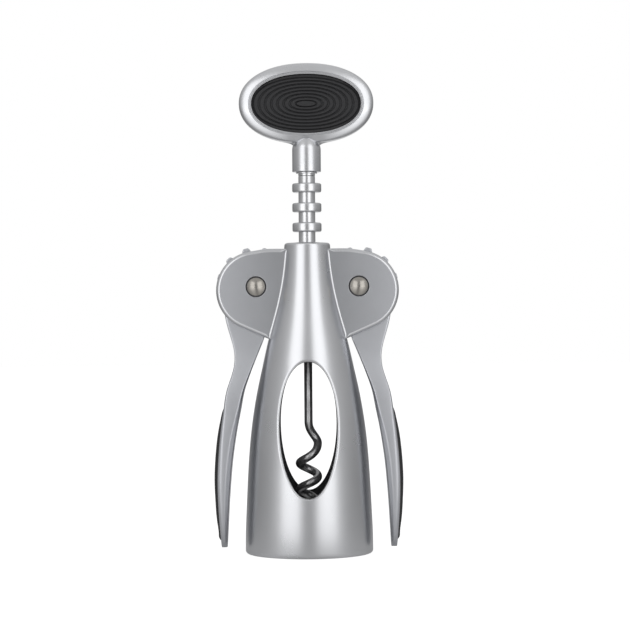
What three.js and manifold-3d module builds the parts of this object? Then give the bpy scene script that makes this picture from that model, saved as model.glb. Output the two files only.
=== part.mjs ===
// Wing corkscrew: a cast bell with two geared levers, a ringed rack sleeve and a turning handle with its
// worm. Millimetres, +Z up, origin at the centre of the foot. The levers swing in the XZ plane and the
// front is -Y.
import * as THREE from 'three';
import { mergeVertices } from 'three/addons/utils/BufferGeometryUtils.js';
import Module from 'manifold-3d';

const wasm = await Module();
wasm.setup();

// Clearances shared by all pieces
const runningGap = 0.3;
const cutOverrun = 2;

// Bell
const bellHeight = 118.8;
const bellRadius = 24.45;
const bellTopRadius = 8.3;
const bellWall = 2.2;
const footRounding = 1.2;
const topRounding = 1.1;
const throatFloorDrop = 30;
const throatFlare = 8;

// Window through the front and back of the bell
const windowBottom = 21.6;
const windowTop = 73.4;
const windowWaist = 49;
const windowHalfWidth = 10.9;
const windowTopFullness = 2.1;
const windowBottomFullness = 1.75;

// Rack and pinion
const rackPitch = 7.565;
const ringRadius = 5.5;
const ringHeight = 3.57;
const ringEdge = 0.5;
const neckRadius = 3.2;
const sleeveWall = 1.4;
const ringCount = 7;
const travelPitches = 5;
const sleeveTopLand = 2.8;
const sleeveFootLand = 1.5;
const teethPerTurn = 12;
const teethOnLever = 7;
const toothPlay = 0.9;
const toothAddendum = 1.15;
const toothDedendum = 1.15;
const ringAddendum = 0.26;

// Ears of the bell and the rivets through them
const pinDrop = 16.74;
const earRadius = 15.1;
const earRise = -1.4;
const earReach = 0.2;
const earTopDrop = 2.4;
const earThickness = 1.7;
const earBevel = 0.5;
const earTopAngle = THREE.MathUtils.degToRad(97);
const earLowerSlope = THREE.MathUtils.degToRad(23.5);
const earLowerReach = 13;
const rivetRadius = 2.1;
const rivetHeadRadius = 3.4;
const rivetHeadHeight = 1.3;
const rivetRecessDepth = 0.8;
const rivetRecessMargin = 0.5;

// Levers
const leverHeadHalf = 2.25;
const leverDrop = 99.66;
const leverReach = 16.5;
const gripHalfWidth = 7.4;
const padProud = 1.2;
const padPocketDepth = 0.8;
const padWidthShare = 0.7;
const padCrownShare = 0.62;
const padEdgeShare = 0.4;

// Handle
const handleHalfWidth = 25.8;
const handleHalfHeight = 14.9;
const handleHalfDepth = 4.9;
const handleFullness = 2.14;
const insetHalfWidth = 21;
const insetHalfHeight = 11.3;
const insetThickness = 2.2;
const insetRibHeight = 0.35;
const insetCentreHalfWidth = 3.7;
const insetCentreHalfHeight = 1.25;
const insetRibs = 8;
const lipWidth = 0.75;
const grooveDepth = 0.45;
const beadCrestShare = 0.3;
const pocketFloor = 1.5;
const collarLength = 11.9;
const collarDomeRise = 1.6;
const collarFlare = 3.3;
const collarFlareDrop = 1.2;
const collarFlareHalf = 3.2;
const collarEdge = 0.35;

// Worm and what holds it in the rack sleeve
const wireRadius = 1.5;
const helixRadius = 3.55;
const helixLength = 33.5;
const helixTurns = 2.45;
const wormPointLength = 6;
const wormPointShare = 0.12;
const wormShankShare = 0.3;
const washerThickness = 0.9;
const thrustWasherRadius = 4.05;
const retainingWasherRadius = 3;
const clipThickness = 0.8;
const clipRadius = 2.6;
const clipGrooveDepth = 0.45;
const clipMouth = THREE.MathUtils.degToRad(70);

// Bottle guide in the foot
const guideTop = 19.5;
const guideShelf = 2.5;
const guideRecess = 1.2;
const guideWall = 5.7;
const bottleLeadIn = 2.4;
const wormHoleRadius = 7.2;

// Facets
const bellFacets = 40;
const handleFacets = 40;
const insetFacets = 30;
const ringFacets = 20;
const pinFacets = 18;
const slotFacets = 26;
const windowFacets = 32;
const noseSpans = 16;
const wireFacets = 8;
const wormSteps = 80;
const beadSteps = 3;
const profileSpans = 14;

// Outlines as shares of the sizes that they follow
const bellProfileShares = [
  [0.04, 1], [0.143, 0.972], [0.259, 0.929], [0.376, 0.861], [0.454, 0.786], [0.531, 0.684],
  [0.609, 0.557], [0.686, 0.427], [0.777, 0.254], [0.878, 0.109], [0.977, 0.037],
];
const toothShares = [[0, 1.14], [0.45, 1], [0.85, 0.78], [1, 0.42]];
const helixShares = [
  [0, 0], [0.102, 0.263], [0.306, 0.493], [0.51, 0.645], [0.714, 0.791], [0.918, 0.937], [1, 1],
];
const rivetDomeShares = [[1, 0], [1, 0.3], [0.88, 0.65], [0.5, 0.92], [0, 1]];
const collarDomeShares = [[1, 0], [0.8, 0.72], [0.4, 0.95], [0, 1]];
const collarFlareShares = [[1, 0], [1.2, 0.15], [1.45, 0.27], [1.75, 0.39], [2.04, 0.58], [2.36, 1]];

// Each row of the lever: drop from the pivot, outer edge, inner edge, half width, and the shares of the
// section's thickness where the outer bevel ends and where the inner crown begins
const leverShares = [
  [0.201, 0.588, -0.169, 0.304, 0.1, 0.95],
  [0.231, 0.54, -0.096, 0.338, 0.1, 0.95],
  [0.262, 0.513, -0.018, 0.405, 0.12, 0.94],
  [0.302, 0.525, 0.079, 0.527, 0.14, 0.92],
  [0.342, 0.588, 0.17, 0.66, 0.16, 0.88],
  [0.402, 0.704, 0.292, 0.82, 0.18, 0.8],
  [0.462, 0.764, 0.364, 0.92, 0.2, 0.72],
  [0.529, 0.825, 0.446, 0.973, 0.22, 0.64],
  [0.603, 0.879, 0.522, 1, 0.24, 0.56],
  [0.673, 0.91, 0.579, 1, 0.25, 0.5],
  [0.743, 0.928, 0.619, 0.987, 0.26, 0.46],
  [0.823, 0.925, 0.649, 0.946, 0.26, 0.46],
  [0.904, 0.904, 0.667, 0.865, 0.28, 0.5],
  [0.964, 0.879, 0.682, 0.757, 0.3, 0.55],
  [0.99, 0.843, 0.695, 0.62, 0.32, 0.6],
  [1, 0.788, 0.716, 0.46, 0.35, 0.65],
];
const leverSectionShares = { outerWidth: 0.8, crownStep: 0.65, crownWidth: 0.7, crestWidth: 0.25 };
const padShares = [
  [0.47, 0.15], [0.5, 0.5], [0.54, 0.72], [0.603, 0.9], [0.673, 1], [0.743, 1],
  [0.823, 0.8], [0.904, 0.55], [0.95, 0.4], [0.968, 0.15],
];

// The plate between the ears, as shares of the pivot's drop to where the grip takes over and of the reach
const headOuterShares = [[0.03, 0.794], [0.09, 0.75], [0.137, 0.697], [0.183, 0.62]];
const headInnerShares = [[0.231, -0.096], [0.206, -0.169], [0.181, -0.193], [0.146, -0.23]];

// Places that follow from the sizes above
const pitchRadius = teethPerTurn * rackPitch / (2 * Math.PI);
const toothTipRadius = pitchRadius + toothAddendum;
const toothRootRadius = pitchRadius - toothDedendum;
const pinX = pitchRadius + ringRadius - ringAddendum;
const pinZ = bellHeight - pinDrop;
const boreRadius = ringRadius + runningGap;
const slotHalf = leverHeadHalf + runningGap;
const earFace = slotHalf + earThickness;
const rivetHoleRadius = rivetRadius + runningGap;
const topRingZ = pinZ + travelPitches * rackPitch;
const sleeveTop = topRingZ + ringHeight / 2 + sleeveTopLand;
const sleeveBottom = topRingZ - (ringCount - 1) * rackPitch - ringHeight / 2 - sleeveFootLand;
const sleeveBore = neckRadius - sleeveWall;
const collarBottom = sleeveTop + washerThickness + 2 * runningGap;
const retainingWasherTop = sleeveBottom - runningGap;
const clipTop = retainingWasherTop - washerThickness - runningGap / 2;
const shelfZ = guideTop - guideShelf;
const wormTipZ = shelfZ + runningGap;
const rimBottom = collarBottom + collarLength;
const handleZ = rimBottom + handleHalfHeight;

// Finishes
function metal(color, roughness) {
  return new THREE.MeshStandardMaterial({ color, roughness, metalness: 1 });
}

function soft(color, roughness) {
  return new THREE.MeshStandardMaterial({ color, roughness, metalness: 0 });
}

const satinCasting = metal(0xb4b5b8, 0.35);
const matteCasting = metal(0xa9aaad, 0.45);
const turnedNickel = metal(0xb5afa4, 0.25);
const darkWire = metal(0x4a4b4d, 0.3);
const blackRubber = soft(0x2a2a2c, 0.75);
const blackPlastic = soft(0x1d1d1f, 0.5);

// A closed geometry as a solid for joining and cutting, turned outwards where its volume is negative
function solid(geometry) {
  const bare = geometry.clone();
  bare.deleteAttribute('normal');
  bare.deleteAttribute('uv');
  const welded = mergeVertices(bare);
  const position = welded.getAttribute('position');
  const corners = [0, 1, 2].map(() => new THREE.Vector3());
  const triangles = [];
  let volume = 0;
  for (let first = 0; first < welded.index.count; first += 3) {
    const ids = [0, 1, 2].map((step) => welded.index.getX(first + step));
    if (new Set(ids).size < 3) continue;
    triangles.push(ids);
    corners.forEach((corner, at) => corner.fromBufferAttribute(position, ids[at]));
    volume += corners[0].dot(corners[1].clone().cross(corners[2]));
  }
  if (volume < 0) triangles.forEach((ids) => ids.reverse());
  const mesh = new wasm.Mesh({
    numProp: 3,
    vertProperties: new Float32Array(position.array),
    triVerts: new Uint32Array(triangles.flat()),
  });
  return new wasm.Manifold(mesh);
}

// A named mesh from a solid
function piece(name, body, material) {
  const { vertProperties, triVerts } = body.getMesh();
  const geometry = new THREE.BufferGeometry();
  geometry.setAttribute('position', new THREE.BufferAttribute(new Float32Array(vertProperties), 3));
  geometry.setIndex(new THREE.BufferAttribute(new Uint32Array(triVerts), 1));
  geometry.computeVertexNormals();
  const mesh = new THREE.Mesh(geometry, material);
  mesh.name = name;
  return mesh;
}

// A skin over rings of equally many points, closed by a fan at each end
function loft(rings) {
  const count = rings[0].length;
  const points = rings.flat();
  const ends = [rings[0], rings[rings.length - 1]].map((ring) => {
    const middle = ring.reduce((sum, point) => sum.add(point), new THREE.Vector3());
    return points.push(middle.divideScalar(count)) - 1;
  });
  const faces = [];
  for (let side = 0; side < count; side += 1) {
    const next = (side + 1) % count;
    for (let ring = 0; ring < rings.length - 1; ring += 1) {
      const low = ring * count;
      const high = low + count;
      faces.push(low + side, low + next, high + next, low + side, high + next, high + side);
    }
    const last = (rings.length - 1) * count;
    faces.push(ends[0], next, side, ends[1], last + side, last + next);
  }
  const geometry = new THREE.BufferGeometry().setFromPoints(points);
  geometry.setIndex(faces);
  return solid(geometry);
}

// A profile of [radius, height] points turned about Z
function revolve(profile, facets) {
  const points = profile.map(([radius, height]) => new THREE.Vector2(radius, height));
  return solid(new THREE.LatheGeometry(points, facets).rotateX(Math.PI / 2));
}

// The same profile turned about a line along Y through [x, z]
function revolveAcross(profile, facets, x, z) {
  const points = profile.map(([radius, height]) => new THREE.Vector2(radius, height));
  return solid(new THREE.LatheGeometry(points, facets).translate(x, 0, z));
}

// An outline of [x, z] points as a plate, from -half to half along Y
function plate(outline, half, bevel = 0) {
  const shape = new THREE.Shape(outline.map(([x, z]) => new THREE.Vector2(x, z)));
  const settings = {
    depth: 2 * (half - bevel),
    bevelEnabled: bevel > 0,
    bevelThickness: bevel,
    bevelSize: bevel,
    bevelOffset: -bevel,
    bevelSegments: 1,
    steps: 1,
  };
  return solid(new THREE.ExtrudeGeometry(shape, settings).translate(0, 0, bevel - half).rotateX(Math.PI / 2));
}

// A plain cylinder along Z between two heights
function cylinder(radius, bottom, top, facets) {
  return revolve([[0, bottom], [radius, bottom], [radius, top], [0, top]], facets);
}

// A plain cylinder along Y through [x, z], from -half to half
function crossCylinder(radius, half, facets, x, z) {
  return revolveAcross([[0, -half], [radius, -half], [radius, half], [0, half]], facets, x, z);
}

// Points of an arc about [x, z], both ends included
function arc(x, z, radius, start, end, steps) {
  const points = [];
  for (let step = 0; step <= steps; step += 1) {
    const angle = start + (end - start) * step / steps;
    points.push([x + radius * Math.cos(angle), z + radius * Math.sin(angle)]);
  }
  return points;
}

// Points of an oval whose fullness is 2 for an ellipse and more for a squarer one
function ovalPoint(halfWidth, halfHeight, fullness, angle) {
  const bend = (value) => Math.sign(value) * Math.abs(value) ** (2 / fullness);
  return [halfWidth * bend(Math.cos(angle)), halfHeight * bend(Math.sin(angle))];
}

// Straight line between the rows of a table of shares, at a given first share
function between(rows, at) {
  const upper = Math.max(1, rows.findIndex((row) => row[0] >= at));
  const [before, after] = [rows[upper - 1], rows[upper]];
  const part = (at - before[0]) / (after[0] - before[0]);
  return before.map((value, column) => value + (after[column] - value) * part);
}

// Bell: outer and inner faces from one profile
const bellCurve = new THREE.SplineCurve(bellProfileShares.map(([rise, spread]) => new THREE.Vector2(
  bellTopRadius + (bellRadius - bellTopRadius) * spread,
  bellHeight * rise,
)));
const bellSide = bellCurve.getPoints(profileSpans).map((point) => [point.x, point.y]);

function bellOutside() {
  const foot = arc(bellRadius - footRounding, footRounding, footRounding, -Math.PI / 2, 0, 3);
  const crown = arc(bellTopRadius - topRounding, bellHeight - topRounding, topRounding, 0, Math.PI / 2, 3);
  return revolve([[0, 0], ...foot, ...bellSide, ...crown, [0, bellHeight]], bellFacets);
}

// The throat's floor, where the hollow of the bell closes in on the bore
function bellHollow() {
  const floorZ = bellHeight - throatFloorDrop;
  const side = bellSide.filter(([, height]) => height < floorZ - throatFlare);
  const inner = side.map(([radius, height]) => [radius - bellWall, height]);
  const mouth = bellRadius - bellWall;
  const profile = [[0, -cutOverrun], [mouth, -cutOverrun], ...inner, [boreRadius, floorZ], [0, floorZ]];
  return revolve(profile, bellFacets);
}

// D shaped ear: a round nose about the pin, a flat top and a sloping lower edge, both run into the neck
function earOutline(side) {
  const middleX = pinX + earReach;
  const middleZ = pinZ + earRise;
  const nose = arc(middleX, middleZ, earRadius, earTopAngle, earLowerSlope - Math.PI / 2, noseSpans);
  const [lastX, lastZ] = nose[nose.length - 1];
  const rootX = lastX - earLowerReach;
  const rootZ = lastZ - earLowerReach * Math.tan(earLowerSlope);
  const root = [[rootX, rootZ], [boreRadius, rootZ], [boreRadius, bellHeight - earTopDrop]];
  return [...nose, ...root].map(([x, z]) => [side * x, z]);
}

// The space between a pair of ears: the pinion's circle, and the way out along the arm and outside it
function leverSlot(side) {
  const reach = toothTipRadius + 2 * runningGap;
  const circle = crossCylinder(reach, slotHalf, slotFacets, side * pinX, pinZ);
  const inner = headInnerShares.map(([drop, out]) => [
    pinX + leverReach * out - 2 * runningGap, pinZ - leverDrop * drop,
  ]);
  const lowZ = inner[0][1];
  const outerX = pinX + reach + cutOverrun;
  const way = [...inner, [pinX, pinZ], [outerX, pinZ], [outerX, lowZ]];
  return circle.add(plate(way.map(([x, z]) => [side * x, z]), slotHalf));
}

function windowOutline() {
  const points = [];
  for (let step = 0; step < windowFacets; step += 1) {
    const angle = 2 * Math.PI * step / windowFacets;
    const upper = angle < Math.PI;
    const halfHeight = upper ? windowTop - windowWaist : windowWaist - windowBottom;
    const fullness = upper ? windowTopFullness : windowBottomFullness;
    const [x, z] = ovalPoint(windowHalfWidth, halfHeight, fullness, angle);
    points.push([x, windowWaist + z]);
  }
  return points;
}

function bellHousing() {
  let body = bellOutside();
  for (const side of [-1, 1]) body = body.add(plate(earOutline(side), earFace, earBevel));
  body = body.subtract(bellHollow());
  body = body.subtract(cylinder(boreRadius, cutOverrun, bellHeight + cutOverrun, bellFacets));
  body = body.subtract(plate(windowOutline(), bellRadius + cutOverrun));
  const recess = rivetHeadRadius + rivetRecessMargin;
  const recessFloor = earFace - rivetRecessDepth;
  for (const side of [-1, 1]) {
    const x = side * pinX;
    body = body.subtract(leverSlot(side));
    body = body.subtract(crossCylinder(rivetHoleRadius, earFace + cutOverrun, pinFacets, x, pinZ));
    for (const face of [-1, 1]) {
      const heights = [recessFloor, earFace + cutOverrun].map((height) => face * height);
      const profile = [[0, heights[0]], [recess, heights[0]], [recess, heights[1]], [0, heights[1]]];
      body = body.subtract(revolveAcross(profile, pinFacets, x, pinZ));
    }
  }
  return piece('bell_housing', body, satinCasting);
}

// Rivet with a domed head sunk in each ear
function pivotRivet(name, side) {
  const under = earFace - rivetRecessDepth + runningGap;
  const dome = rivetDomeShares.map(([out, rise]) => [rivetHeadRadius * out, under + rivetHeadHeight * rise]);
  const upper = [[rivetRadius, under], ...dome];
  const lower = upper.map(([radius, height]) => [radius, -height]).reverse();
  return piece(name, revolveAcross([...lower, ...upper], pinFacets, side * pinX, pinZ), turnedNickel);
}

// Black guide in the foot: a mouth that centres the bottle, a shelf that stops it and a hole for the worm
function bottleGuide() {
  const [narrowest] = bellSide.filter(([, height]) => height < guideTop).pop();
  const outer = narrowest - bellWall - 2 * runningGap;
  const bore = outer - guideWall;
  const profile = [
    [bore, shelfZ], [wormHoleRadius, shelfZ], [wormHoleRadius, guideTop], [outer, guideTop],
    [outer, guideRecess], [bore + bottleLeadIn, guideRecess], [bore, guideRecess + bottleLeadIn],
    [bore, shelfZ],
  ];
  return piece('bottle_guide', revolve(profile, bellFacets), blackPlastic);
}

// Ringed sleeve: a turned rack whose rings the teeth of both levers run between
function rackSleeve() {
  const profile = [[sleeveBore, sleeveBottom], [neckRadius, sleeveBottom]];
  for (let ring = ringCount - 1; ring >= 0; ring -= 1) {
    const low = topRingZ - ring * rackPitch - ringHeight / 2;
    const high = low + ringHeight;
    profile.push([neckRadius, low], [ringRadius - ringEdge, low], [ringRadius, low + ringEdge]);
    profile.push([ringRadius, high - ringEdge], [ringRadius - ringEdge, high], [neckRadius, high]);
  }
  profile.push([neckRadius, sleeveTop], [sleeveBore, sleeveTop], [sleeveBore, sleeveBottom]);
  return piece('rack_sleeve', revolve(profile, ringFacets), satinCasting);
}

function washer(name, radius, top, material) {
  const hole = wireRadius + runningGap;
  const bottom = top - washerThickness;
  const profile = [[hole, bottom], [radius, bottom], [radius, top], [hole, top], [hole, bottom]];
  return piece(name, revolve(profile, ringFacets), material);
}

// Open ring sprung into the groove of the worm's shank
function retainingClip() {
  const hole = wireRadius - clipGrooveDepth + runningGap / 2;
  const start = clipMouth / 2;
  const end = 2 * Math.PI - start;
  const outside = arc(0, 0, clipRadius, start, end, 16);
  const inside = arc(0, 0, hole, end, start, 16);
  const shape = new THREE.Shape([...outside, ...inside].map(([x, y]) => new THREE.Vector2(x, y)));
  const ring = new THREE.ExtrudeGeometry(shape, { depth: clipThickness, bevelEnabled: false });
  return piece('retaining_clip', solid(ring.translate(0, 0, clipTop - clipThickness)), turnedNickel);
}

// Centre line of the worm: straight down the shank, then a right-hand helix that opens in a quarter turn
class WormPath extends THREE.Curve {
  constructor() {
    super();
    this.bend = wormTipZ + helixLength;
    this.pace = new THREE.SplineCurve(helixShares.map(([turn, drop]) => new THREE.Vector2(turn, drop)));
  }

  getPoint(t, target = new THREE.Vector3()) {
    if (t < wormShankShare) {
      return target.set(0, 0, rimBottom + (this.bend - rimBottom) * t / wormShankShare);
    }
    const { x: turn, y: drop } = this.pace.getPoint((t - wormShankShare) / (1 - wormShankShare));
    const angle = 2 * Math.PI * helixTurns * turn - Math.PI / 2;
    const radius = helixRadius * THREE.MathUtils.smoothstep(turn, 0, helixShares[1][0]);
    return target.set(radius * Math.cos(angle), -radius * Math.sin(angle), this.bend - helixLength * drop);
  }
}

// Heights along the shank where its section is set, so that the clip's groove has square shoulders
function shankStations() {
  const shoulder = runningGap / 10;
  const low = clipTop - clipThickness - runningGap / 2;
  const high = clipTop + runningGap / 2;
  const groove = wireRadius - clipGrooveDepth;
  return [
    [rimBottom, wireRadius], [high + shoulder, wireRadius], [high, groove],
    [low, groove], [low - shoulder, wireRadius],
  ];
}

// Points of a round section about a centre, in the plane of two directions
function wireRing(centre, normal, binormal, radius) {
  const points = [];
  for (let facet = 0; facet < wireFacets; facet += 1) {
    const angle = 2 * Math.PI * facet / wireFacets;
    const across = normal.clone().multiplyScalar(radius * Math.cos(angle));
    points.push(across.addScaledVector(binormal, radius * Math.sin(angle)).add(centre));
  }
  return points;
}

function worm() {
  const path = new WormPath();
  const { normals, binormals } = path.computeFrenetFrames(wormSteps, false);
  const rings = shankStations().map(([height, radius]) => (
    wireRing(new THREE.Vector3(0, 0, height), normals[0], binormals[0], radius)
  ));
  for (let step = 0; step <= wormSteps; step += 1) {
    const centre = path.getPointAt(step / wormSteps);
    if (centre.z > path.bend) continue;
    const part = Math.max(0, 1 - (centre.z - wormTipZ) / wormPointLength);
    const radius = wireRadius * (1 - (1 - wormPointShare) * part ** 2);
    rings.push(wireRing(centre, normals[step], binormals[step], radius));
  }
  return piece('worm', loft(rings), darkWire);
}

// Rings of an oval piece from the middle of one face over its edge to the middle of the other
function ovalStack(rows, facets, fullness, z) {
  const rings = rows.map(([halfWidth, halfHeight, depth]) => {
    const points = [];
    for (let facet = 0; facet < facets; facet += 1) {
      const [x, up] = ovalPoint(halfWidth, halfHeight, fullness, 2 * Math.PI * facet / facets);
      points.push(new THREE.Vector3(x, depth, z + up));
    }
    return points;
  });
  return loft(rings);
}

// Rows of the rim from the pocket's floor over the lip, the groove and the bead to the widest point
function rimRows() {
  const pocket = [insetHalfWidth + runningGap, insetHalfHeight + runningGap];
  const lipTop = handleHalfDepth - grooveDepth;
  const low = lipTop - grooveDepth;
  const lip = [[0, pocketFloor], [0, low], [0.5, lipTop], [1, lipTop], [1.5, low], [2, low]];
  const rows = lip.map(([widths, depth]) => [...pocket.map((half) => half + widths * lipWidth), depth]);
  const inner = [pocket[0] + 2 * lipWidth, pocket[1] + 2 * lipWidth];
  const beadRow = (share, depth) => [
    inner[0] + (handleHalfWidth - inner[0]) * share, inner[1] + (handleHalfHeight - inner[1]) * share, depth,
  ];
  for (const [angle, rise] of arc(0, 0, 1, Math.PI, Math.PI / 2, beadSteps).slice(1)) {
    rows.push(beadRow(beadCrestShare * (1 + angle), low + (handleHalfDepth - low) * rise));
  }
  for (const [angle, rise] of arc(0, 0, 1, Math.PI / 2, 0, beadSteps + 1).slice(1)) {
    rows.push(beadRow(beadCrestShare + (1 - beadCrestShare) * angle, handleHalfDepth * rise));
  }
  return rows;
}

// Handle: a rounded rim round a pocket on each face, with the collar run up into it from below
function handleFrame() {
  const face = rimRows();
  const back = face.slice(0, -1).reverse().map(([x, z, depth]) => [x, z, -depth]);
  const rim = ovalStack([...face, ...back], handleFacets, handleFullness, handleZ);
  const dome = collarDomeShares.map(([out, rise]) => [ringRadius * out, rimBottom + collarDomeRise * rise]);
  const edge = [[ringRadius - collarEdge, collarBottom], [ringRadius, collarBottom + collarEdge]];
  const collar = revolve([[0, collarBottom], ...edge, ...dome], ringFacets);
  const right = collarFlareShares.map(([out, rise]) => [
    ringRadius * out, rimBottom - collarFlareDrop + collarFlare * rise,
  ]);
  const left = right.map(([x, z]) => [-x, z]).reverse();
  const socketRadius = wireRadius + runningGap;
  const socket = cylinder(socketRadius, collarBottom - cutOverrun, rimBottom + runningGap, ringFacets);
  const body = rim.add(collar).add(plate([...left, ...right], collarFlareHalf)).subtract(socket);
  return piece('handle_frame', body, satinCasting);
}

// Rubber oval with nested ribs, seated in a pocket of the handle
function handleInset(name, face) {
  const base = pocketFloor + runningGap;
  const top = base + insetThickness;
  const low = top - insetRibHeight;
  const rows = [base, low].map((depth) => [insetHalfWidth, insetHalfHeight, depth]);
  const halfRibs = insetRibs * 2;
  for (let half = 1; half <= halfRibs; half += 1) {
    const inward = half / halfRibs;
    const width = insetHalfWidth + (insetCentreHalfWidth - insetHalfWidth) * inward;
    const height = insetHalfHeight + (insetCentreHalfHeight - insetHalfHeight) * inward;
    rows.push([width, height, half % 2 ? top : low]);
  }
  const turned = rows.map(([x, z, depth]) => [x, z, face * depth]);
  return piece(name, ovalStack(turned, insetFacets, handleFullness, handleZ), blackRubber);
}

// Section of a lever at a drop share, as a closed ring of points: a flat outer face, a bevel, a flat side
// and a crowned inner face, mirrored about Y = 0
function leverRing(side, at) {
  const [, outerShare, innerShare, widthShare, bevelShare, crownShare] = between(leverShares, at);
  const outer = pinX + leverReach * outerShare;
  const thickness = leverReach * (outerShare - innerShare);
  const half = gripHalfWidth * widthShare;
  const { outerWidth, crownStep, crownWidth, crestWidth } = leverSectionShares;
  const crownPart = crownShare + (1 - crownShare) * crownStep;
  const section = [
    [0, outerWidth], [bevelShare, 1], [crownShare, 1], [crownPart, crownWidth], [1, crestWidth],
  ];
  const front = section.map(([depth, width]) => [outer - thickness * depth, -half * width]);
  const back = front.map(([x, y]) => [x, -y]).reverse();
  const height = pinZ - leverDrop * at;
  return [...front, ...back].map(([x, y]) => new THREE.Vector3(side * x, y, height));
}

// Outline of the toothed head: teeth over the inner and upper side, then the shoulder and the arm below it
function headOutline(side) {
  const toothHalf = (rackPitch - ringHeight - toothPlay) / 2;
  const stepAngle = 2 * Math.PI / teethPerTurn;
  const firstAngle = Math.PI + stepAngle / 2;
  const points = [];
  for (let tooth = 0; tooth < teethOnLever; tooth += 1) {
    const angle = firstAngle - tooth * stepAngle;
    const flank = toothShares.map(([rise, width]) => [
      toothRootRadius + (toothTipRadius - toothRootRadius) * rise, -toothHalf * width,
    ]);
    const outline = [...flank, ...flank.map(([radius, width]) => [radius, -width]).reverse()];
    for (const [radius, width] of outline) {
      points.push([
        pinX + radius * Math.cos(angle) + width * Math.sin(angle),
        pinZ + radius * Math.sin(angle) - width * Math.cos(angle),
      ]);
    }
  }
  for (const [drop, out] of headOuterShares) points.push([pinX + leverReach * out, pinZ - leverDrop * drop]);
  const [, outerShare] = between(leverShares, headInnerShares[0][0]);
  points.push([pinX + leverReach * outerShare, pinZ - leverDrop * headInnerShares[0][0]]);
  for (const [drop, out] of headInnerShares) points.push([pinX + leverReach * out, pinZ - leverDrop * drop]);
  const lastTooth = firstAngle + stepAngle * 0.75;
  points.push(...arc(pinX, pinZ, toothRootRadius, lastTooth + stepAngle, lastTooth, 3));
  return points.map(([x, z]) => [side * x, z]);
}

// The pad's block between two depths below and above the lever's outer face
function padBlock(side, margin, below, raised) {
  const first = padShares[0][0];
  const last = padShares[padShares.length - 1][0];
  const stretch = margin / leverDrop;
  const rings = padShares.map(([drop, rise]) => {
    const at = drop + stretch * (2 * (drop - first) / (last - first) - 1);
    const [, outerShare, , widthShare] = between(leverShares, at);
    const outer = pinX + leverReach * outerShare;
    const half = gripHalfWidth * widthShare * padWidthShare + margin;
    const top = outer + raised(rise);
    const edge = outer + raised(rise) * padEdgeShare;
    const front = [[outer - below, -half], [edge, -half], [top, -half * padCrownShare]];
    const back = front.map(([x, y]) => [x, -y]).reverse();
    return [...front, ...back].map(([x, y]) => new THREE.Vector3(side * x, y, pinZ - leverDrop * at));
  });
  return loft(rings);
}

function lever(name, side) {
  const rings = leverShares.map(([drop]) => leverRing(side, drop));
  let body = plate(headOutline(side), leverHeadHalf).add(loft(rings));
  body = body.subtract(padBlock(side, runningGap, padPocketDepth, () => cutOverrun));
  const hole = crossCylinder(rivetHoleRadius, leverHeadHalf + cutOverrun, pinFacets, side * pinX, pinZ);
  body = body.subtract(hole);
  return piece(name, body, matteCasting);
}

function gripPad(name, side) {
  return piece(name, padBlock(side, 0, padPocketDepth - runningGap, (rise) => padProud * rise), blackRubber);
}

const corkscrew = new THREE.Group();
corkscrew.add(
  bellHousing(),
  bottleGuide(),
  pivotRivet('pivot_rivet_left', -1),
  pivotRivet('pivot_rivet_right', 1),
  rackSleeve(),
  washer('thrust_washer', thrustWasherRadius, collarBottom - runningGap, turnedNickel),
  worm(),
  washer('retaining_washer', retainingWasherRadius, retainingWasherTop, turnedNickel),
  retainingClip(),
  handleFrame(),
  handleInset('handle_inset_front', -1),
  handleInset('handle_inset_back', 1),
  lever('lever_left', -1),
  lever('lever_right', 1),
  gripPad('grip_pad_left', -1),
  gripPad('grip_pad_right', 1),
);

export default corkscrew;
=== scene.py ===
import bmesh
import bpy
import numpy as np
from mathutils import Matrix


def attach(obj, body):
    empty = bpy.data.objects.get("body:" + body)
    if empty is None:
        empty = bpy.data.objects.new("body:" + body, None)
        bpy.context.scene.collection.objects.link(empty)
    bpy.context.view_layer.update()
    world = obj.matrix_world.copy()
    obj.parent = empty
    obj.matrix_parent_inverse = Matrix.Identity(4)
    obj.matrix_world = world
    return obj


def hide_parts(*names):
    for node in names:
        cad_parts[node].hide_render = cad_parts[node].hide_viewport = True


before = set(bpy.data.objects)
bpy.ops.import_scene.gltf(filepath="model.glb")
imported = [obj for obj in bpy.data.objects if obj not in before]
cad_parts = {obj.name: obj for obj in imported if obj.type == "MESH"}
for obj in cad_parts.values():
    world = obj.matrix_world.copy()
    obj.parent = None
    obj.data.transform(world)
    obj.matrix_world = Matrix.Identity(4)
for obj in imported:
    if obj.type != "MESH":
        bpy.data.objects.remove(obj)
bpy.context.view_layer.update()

# the pieces are in millimetres until their meshes are made; finishes, lights and the floor are in metres
mm = 0.001
tiny = 0.000001  # points within this many metres are welded; it also keeps a side of no length from dividing


# shapes as arrays

def smoothThrough(knots, values, at):
    # cubic pieces through every value, equal in slope and bend where they meet, with no bend at both ends
    knots = np.asarray(knots, float)
    values = np.asarray(values, float).reshape(len(knots), -1)
    at = np.clip(np.asarray(at, float), knots[0], knots[-1])
    span = np.diff(knots)
    slope = np.diff(values, axis=0) / span[:, None]
    inner = np.arange(1, len(knots) - 1)
    system = np.eye(len(knots))
    system[inner, inner - 1] = span[:-1]
    system[inner, inner] = 2 * (span[:-1] + span[1:])
    system[inner, inner + 1] = span[1:]
    right = np.zeros_like(values)
    right[1:-1] = 6 * np.diff(slope, axis=0)
    bend = np.linalg.solve(system, right)
    low = np.clip(np.searchsorted(knots, at, side="right") - 1, 0, len(span) - 1)
    width = span[low][:, None]
    left = (knots[low + 1] - at)[:, None]
    rest = (at - knots[low])[:, None]
    cubic = (bend[low] * left ** 3 + bend[low + 1] * rest ** 3) / (6 * width)
    straight = (values[low] / width - bend[low] * width / 6) * left
    return cubic + straight + (values[low + 1] / width - bend[low + 1] * width / 6) * rest


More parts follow.
